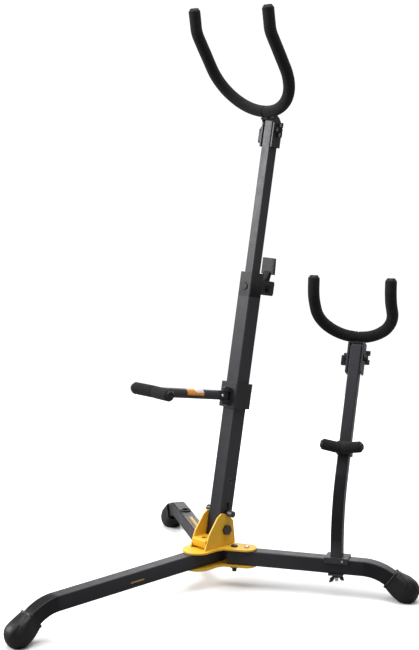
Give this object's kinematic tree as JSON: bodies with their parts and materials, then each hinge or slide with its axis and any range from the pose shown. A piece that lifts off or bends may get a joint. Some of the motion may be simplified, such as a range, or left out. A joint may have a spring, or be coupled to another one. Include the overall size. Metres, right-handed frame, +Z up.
{
  "type": "saxophone stand",
  "caption": "Folding tripod saxophone stand: leaning telescopic square post with foam yoke and swinging cradle, and a smaller foam yoke stand clamped to one leg.",
  "frame": {"origin": "middle of the outer box on the floor plane", "axes": "+Z up; -Y is the front, where the single front leg points and where the yokes open; +X is the player's right side seen from the front leg, where the small stand is clamped"},
  "size_m": [0.6542, 0.7211, 1.0174],
  "materials": {
    "black_powder_coat": "satin, fine texture",
    "yellow_paint": "smooth satin",
    "black_foam": "matte closed-cell foam",
    "boot_rubber": "matte",
    "black_plastic": "fine matte",
    "zinc_steel": "zinc plated",
    "black_steel": "black oxide"
  },
  "bodies": {
    "base": {"upper_hub_plate": "yellow_paint", "lower_hub_plate": "yellow_paint", "hinge_bracket": "yellow_paint", "front_leg_tube": "black_powder_coat", "front_leg_boot": "boot_rubber", "leg_pivot_bolts": "black_steel", "leg_pivot_nuts": "black_steel", "front_leg_rivets": "black_steel", "hinge_bolt": "black_steel", "hinge_nut": "black_steel", "hinge_washers": "black_plastic"},
    "right_leg": {"right_leg_tube": "black_powder_coat", "right_leg_boot": "boot_rubber", "alto_saddle": "black_powder_coat", "alto_saddle_screw": "zinc_steel", "alto_clamp_strap": "black_powder_coat", "alto_clamp_bolt": "zinc_steel", "alto_post_tube": "black_powder_coat", "alto_post_cap": "black_plastic"},
    "left_leg": {"left_leg_tube": "black_powder_coat", "left_leg_boot": "boot_rubber", "peg_socket_grommet": "black_plastic"},
    "right_button": {"right_leg_button": "zinc_steel"},
    "left_button": {"left_leg_button": "zinc_steel"},
    "post": {"lower_post_tube": "black_powder_coat", "spring_anchor_pin": "black_steel", "clamp_head": "black_plastic", "clamp_head_button": "black_plastic", "cam_lever_bolt": "black_steel"},
    "lock_pin": {"lock_pin": "black_steel"},
    "cam_lever": {"cam_lever": "black_plastic"},
    "inner_post": {"inner_post_tube": "black_powder_coat", "inner_post_guide": "black_plastic", "inner_post_cap": "black_plastic"},
    "yoke": {"yoke_bracket": "black_powder_coat", "yoke_rod": "zinc_steel", "yoke_foam_left": "black_foam", "yoke_foam_right": "black_foam", "yoke_tip_plugs": "black_plastic"},
    "yoke_lever": {"yoke_lever_screw": "black_plastic"},
    "yoke_wing": {"yoke_wing_nut": "black_plastic"},
    "collar": {"arm_collar": "black_plastic", "arm_pin": "black_steel"},
    "arm": {"arm_root": "black_plastic", "arm_rivet": "zinc_steel", "arm_tube": "black_powder_coat", "cradle_rod": "zinc_steel", "cradle_foam": "black_foam", "cradle_plugs": "black_plastic"},
    "clamp_wing": {"alto_clamp_wing_nut": "black_steel"},
    "alto_yoke": {"alto_yoke_bracket": "black_powder_coat", "alto_yoke_rod": "zinc_steel", "alto_yoke_foam": "black_foam", "alto_yoke_plugs": "black_plastic"},
    "alto_lever": {"alto_lever_screw": "black_plastic"},
    "alto_wing": {"alto_wing_nut": "black_plastic"},
    "alto_rest": {"alto_rest_sleeve": "black_plastic", "alto_rest_rod": "zinc_steel", "alto_rest_foam": "black_foam", "alto_rest_plugs": "black_plastic"}
  },
  "joints": [
    {"name": "post_fold", "type": "hinge", "parent": "base", "child": "post", "pos_m": [0, 0.10965, 0.1], "axis": [1, 0, 0], "range_deg": [0, 58]},
    {"name": "lock_pin_lift", "type": "slide", "parent": "post", "child": "lock_pin", "axis": [0, 0.1822, 0.9833], "range_m": [0, 0.0141]},
    {"name": "cam_lever_swing", "type": "hinge", "parent": "post", "child": "cam_lever", "pos_m": [0, 0.21664, 0.5236], "axis": [1, 0, 0], "range_deg": [-110, 0]},
    {"name": "post_extend", "type": "slide", "parent": "post", "child": "inner_post", "axis": [0, 0.1822, 0.9833], "range_m": [-0.2, 0.06]},
    {"name": "yoke_tilt", "type": "hinge", "parent": "inner_post", "child": "yoke", "pos_m": [0, 0.24031, 0.80499], "axis": [1, 0, 0], "range_deg": [-35, 30]},
    {"name": "yoke_lever_turn", "type": "hinge", "parent": "inner_post", "child": "yoke_lever", "pos_m": [0, 0.24031, 0.80499], "axis": [1, 0, 0], "continuous": true},
    {"name": "yoke_wing_turn", "type": "hinge", "parent": "inner_post", "child": "yoke_wing", "pos_m": [0, 0.24031, 0.80499], "axis": [1, 0, 0], "continuous": true},
    {"name": "arm_slide", "type": "slide", "parent": "post", "child": "collar", "axis": [0, 0.1822, 0.9833], "range_m": [-0.1, 0.14]},
    {"name": "arm_swing", "type": "hinge", "parent": "collar", "child": "arm", "pos_m": [0, 0.12567, 0.3401], "axis": [0, 0.1822, 0.9833], "range_deg": [-75, 75]},
    {"name": "right_leg_fold", "type": "hinge", "parent": "base", "child": "right_leg", "pos_m": [0.03377, 0.11665, 0.0545], "axis": [0, 0, 1], "range_deg": [-115, 0]},
    {"name": "left_leg_fold", "type": "hinge", "parent": "base", "child": "left_leg", "pos_m": [-0.03377, 0.11665, 0.0545], "axis": [0, 0, -1], "range_deg": [-115, 0]},
    {"name": "right_button_press", "type": "slide", "parent": "base", "child": "right_button", "axis": [0, 0, -1], "range_m": [0, 0.003], "stiffness_N_per_m": 800},
    {"name": "left_button_press", "type": "slide", "parent": "base", "child": "left_button", "axis": [0, 0, -1], "range_m": [0, 0.003], "stiffness_N_per_m": 800},
    {"name": "alto_clamp_wing_turn", "type": "hinge", "parent": "right_leg", "child": "clamp_wing", "pos_m": [0.19512, 0.2098, 0.03], "axis": [0, 0, 1], "continuous": true},
    {"name": "alto_yoke_tilt", "type": "hinge", "parent": "right_leg", "child": "alto_yoke", "pos_m": [0.13524, 0.32241, 0.40149], "axis": [0.8829, 0.4695, 0], "range_deg": [-25, 40]},
    {"name": "alto_lever_turn", "type": "hinge", "parent": "right_leg", "child": "alto_lever", "pos_m": [0.13524, 0.32241, 0.40149], "axis": [0.8829, 0.4695, 0], "continuous": true},
    {"name": "alto_wing_turn", "type": "hinge", "parent": "right_leg", "child": "alto_wing", "pos_m": [0.13524, 0.32241, 0.40149], "axis": [0.8829, 0.4695, 0], "continuous": true},
    {"name": "alto_rest_slide", "type": "slide", "parent": "right_leg", "child": "alto_rest", "axis": [-0.2168, 0.4077, 0.887], "range_m": [-0.03, 0.1]}
  ],
  "couplings": [
    {"joint": "lock_pin_lift", "follows": "post_fold", "m_per_rad": 0.01383}
  ]
}
